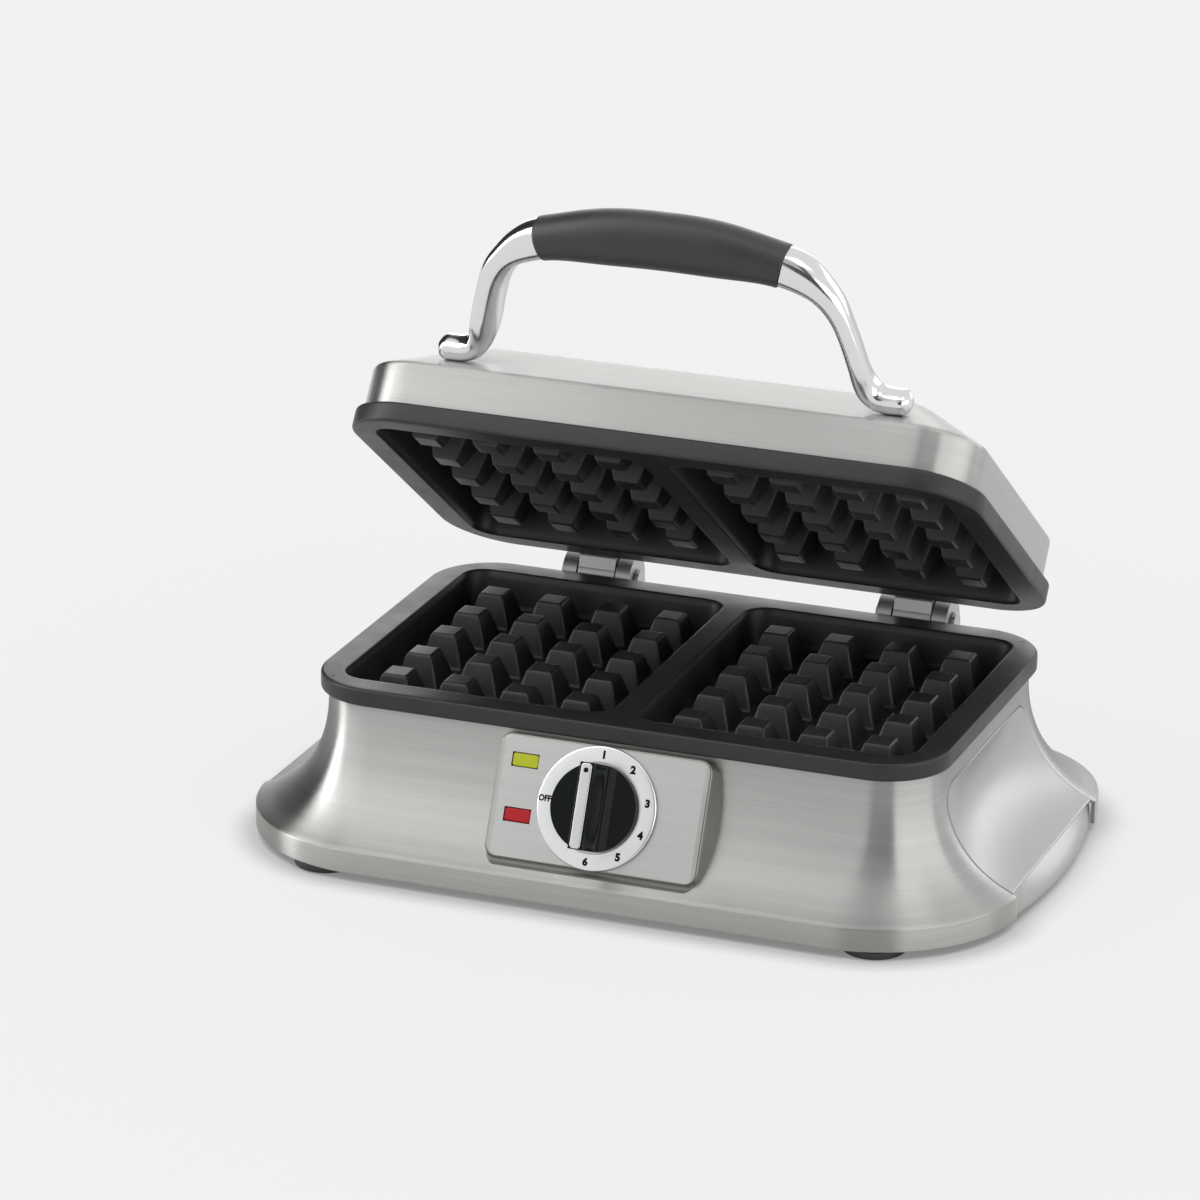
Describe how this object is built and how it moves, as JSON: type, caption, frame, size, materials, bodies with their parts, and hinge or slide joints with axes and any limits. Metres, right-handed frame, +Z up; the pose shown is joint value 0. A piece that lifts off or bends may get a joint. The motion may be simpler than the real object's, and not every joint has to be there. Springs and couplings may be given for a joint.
{
  "type": "waffle maker",
  "caption": "Countertop waffle maker: flared metal base with front dial and two lamps, two studded square moulds side by side, and a rear-hinged lid with an arched handle",
  "frame": {"origin": "On the table under the middle of the whole object at rest, lid open as in the picture", "axes": "+X to the right seen from the front, +Y to the rear hinge, +Z up"},
  "size_m": [0.31, 0.219, 0.2522],
  "materials": {
    "brushed_steel": "brushed along X, satin",
    "satin_metal": "smooth satin silver",
    "nonstick": "cast, dark non-stick coat",
    "chrome": "polished",
    "rubber": "fine matt",
    "black_plastic": "glossy",
    "green_lens": "clear tinted",
    "red_lens": "clear tinted",
    "lamp_glass": "clear",
    "dark_plastic": "matt",
    "zinc_steel": "zinc plated",
    "element_sheath": "heat darkened",
    "sheet_aluminium": "bright sheet",
    "ceramic": "unglazed",
    "copper": "drawn copper",
    "lead_sleeve": "woven glass sleeve"
  },
  "bodies": {
    "base": {"base_housing": "brushed_steel", "side_grip_left": "satin_metal", "side_grip_right": "satin_metal", "bottom_cover": "dark_plastic", "foot_front_left": "rubber", "foot_front_right": "rubber", "foot_rear_left": "rubber", "foot_rear_right": "rubber", "foot_screw_front_left": "zinc_steel", "foot_screw_front_right": "zinc_steel", "foot_screw_rear_left": "zinc_steel", "foot_screw_rear_right": "zinc_steel", "lower_grid_plate": "nonstick", "lower_heating_element": "element_sheath", "lower_element_clamp_left": "zinc_steel", "lower_element_clamp_right": "zinc_steel", "lower_heat_reflector": "sheet_aluminium", "control_panel": "satin_metal", "dial_ring": "satin_metal", "green_lens": "green_lens", "red_lens": "red_lens", "green_lamp": "lamp_glass", "red_lamp": "lamp_glass", "lamp_holder": "dark_plastic", "thermostat_body": "ceramic", "thermostat_bulb": "zinc_steel", "thermostat_capillary": "copper", "thermal_fuse": "zinc_steel", "terminal_block": "ceramic", "element_lead": "lead_sleeve", "fuse_lead": "lead_sleeve", "thermostat_lead": "lead_sleeve", "supply_lead": "lead_sleeve", "cord_gland": "rubber", "hinge_bracket_left": "satin_metal", "hinge_bracket_right": "satin_metal", "hinge_pin_left": "zinc_steel", "hinge_pin_right": "zinc_steel"},
    "lid": {"lid_cover": "brushed_steel", "upper_grid_plate": "nonstick", "upper_heating_element": "element_sheath", "upper_element_clamp_left": "zinc_steel", "upper_element_clamp_right": "zinc_steel", "upper_heat_reflector": "sheet_aluminium", "lid_hinge_arm_left": "satin_metal", "lid_hinge_arm_right": "satin_metal", "handle_frame": "chrome", "handle_grip": "rubber", "handle_screw_left": "zinc_steel", "handle_screw_right": "zinc_steel"},
    "knob": {"thermostat_knob": "black_plastic", "knob_inlay": "chrome", "thermostat_shaft": "zinc_steel"}
  },
  "joints": [
    {"name": "lid_hinge", "type": "hinge", "parent": "base", "child": "lid", "pos_m": [0, 0.09395, 0.0627], "axis": [-1, 0, 0], "range_deg": [-35, 65]},
    {"name": "thermostat_turn", "type": "hinge", "parent": "base", "child": "knob", "pos_m": [0, -0.08525, 0.038], "axis": [0, -0.9171, 0.3987], "range_deg": [-183, 87]}
  ]
}
